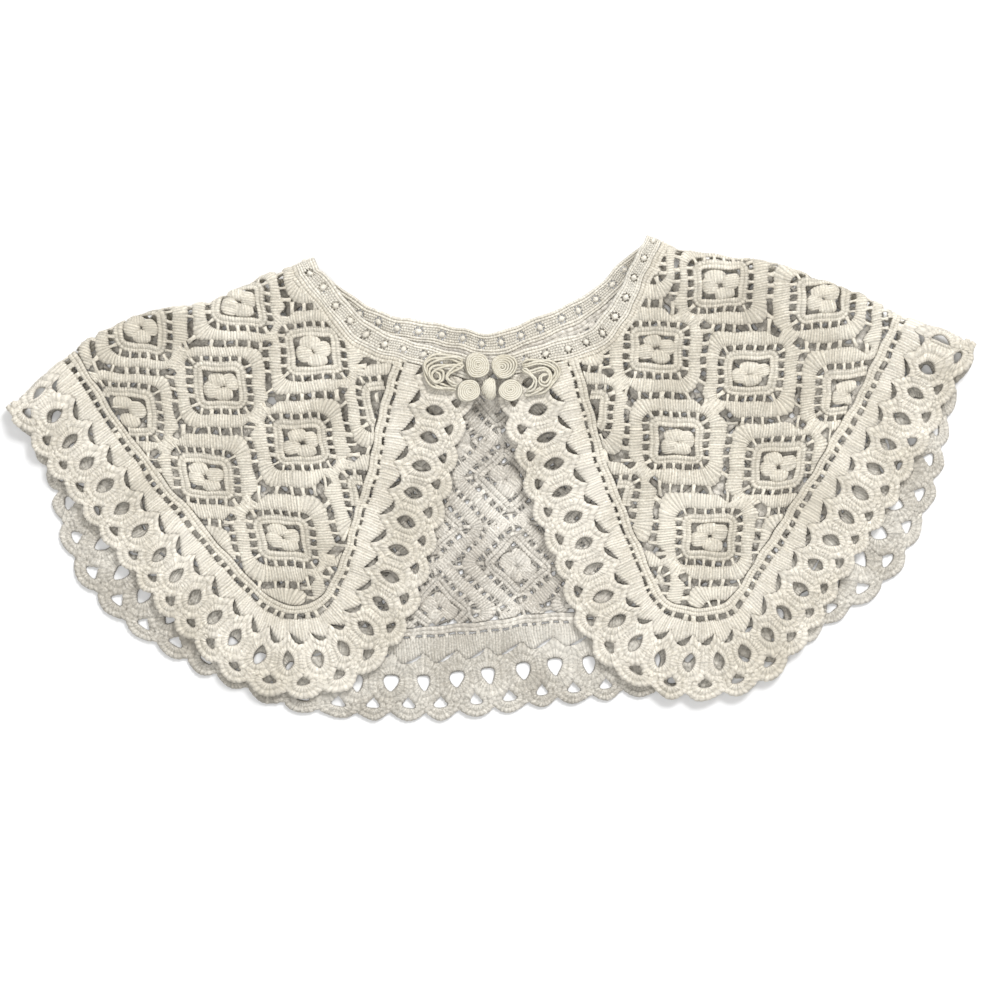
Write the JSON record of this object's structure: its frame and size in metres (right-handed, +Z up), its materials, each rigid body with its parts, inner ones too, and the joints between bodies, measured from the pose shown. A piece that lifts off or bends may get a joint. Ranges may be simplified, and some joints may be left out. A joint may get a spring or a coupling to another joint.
{
  "type": "detachable lace collar",
  "caption": "Crocheted lace cape collar with a scalloped border, a narrow neckband and a flower frog at the front, laid flat with both fronts folded over the back.",
  "frame": {"origin": "on the ground under the middle of the laid collar's box", "axes": "+X to the right of the laid collar seen from above, +Y from the hem towards the neck, +Z up out of the front side"},
  "size_m": [0.5351, 0.2673, 0.0279],
  "materials": {
    "cotton_lace": "matte ribbed cotton cord",
    "cotton_border": "matte ribbed cotton cord",
    "cotton_band": "matte woven cotton cord",
    "satin_cord": "soft satin cord"
  },
  "bodies": {
    "root": {"lace_body": "cotton_lace", "scalloped_border": "cotton_border", "neckband": "cotton_band", "rosette_upper_left": "satin_cord", "rosette_upper_right": "satin_cord", "rosette_lower_left": "satin_cord", "rosette_lower_right": "satin_cord", "knot_button": "satin_cord", "frog_loop_left": "satin_cord", "frog_loop_right": "satin_cord"}
  },
  "joints": []
}
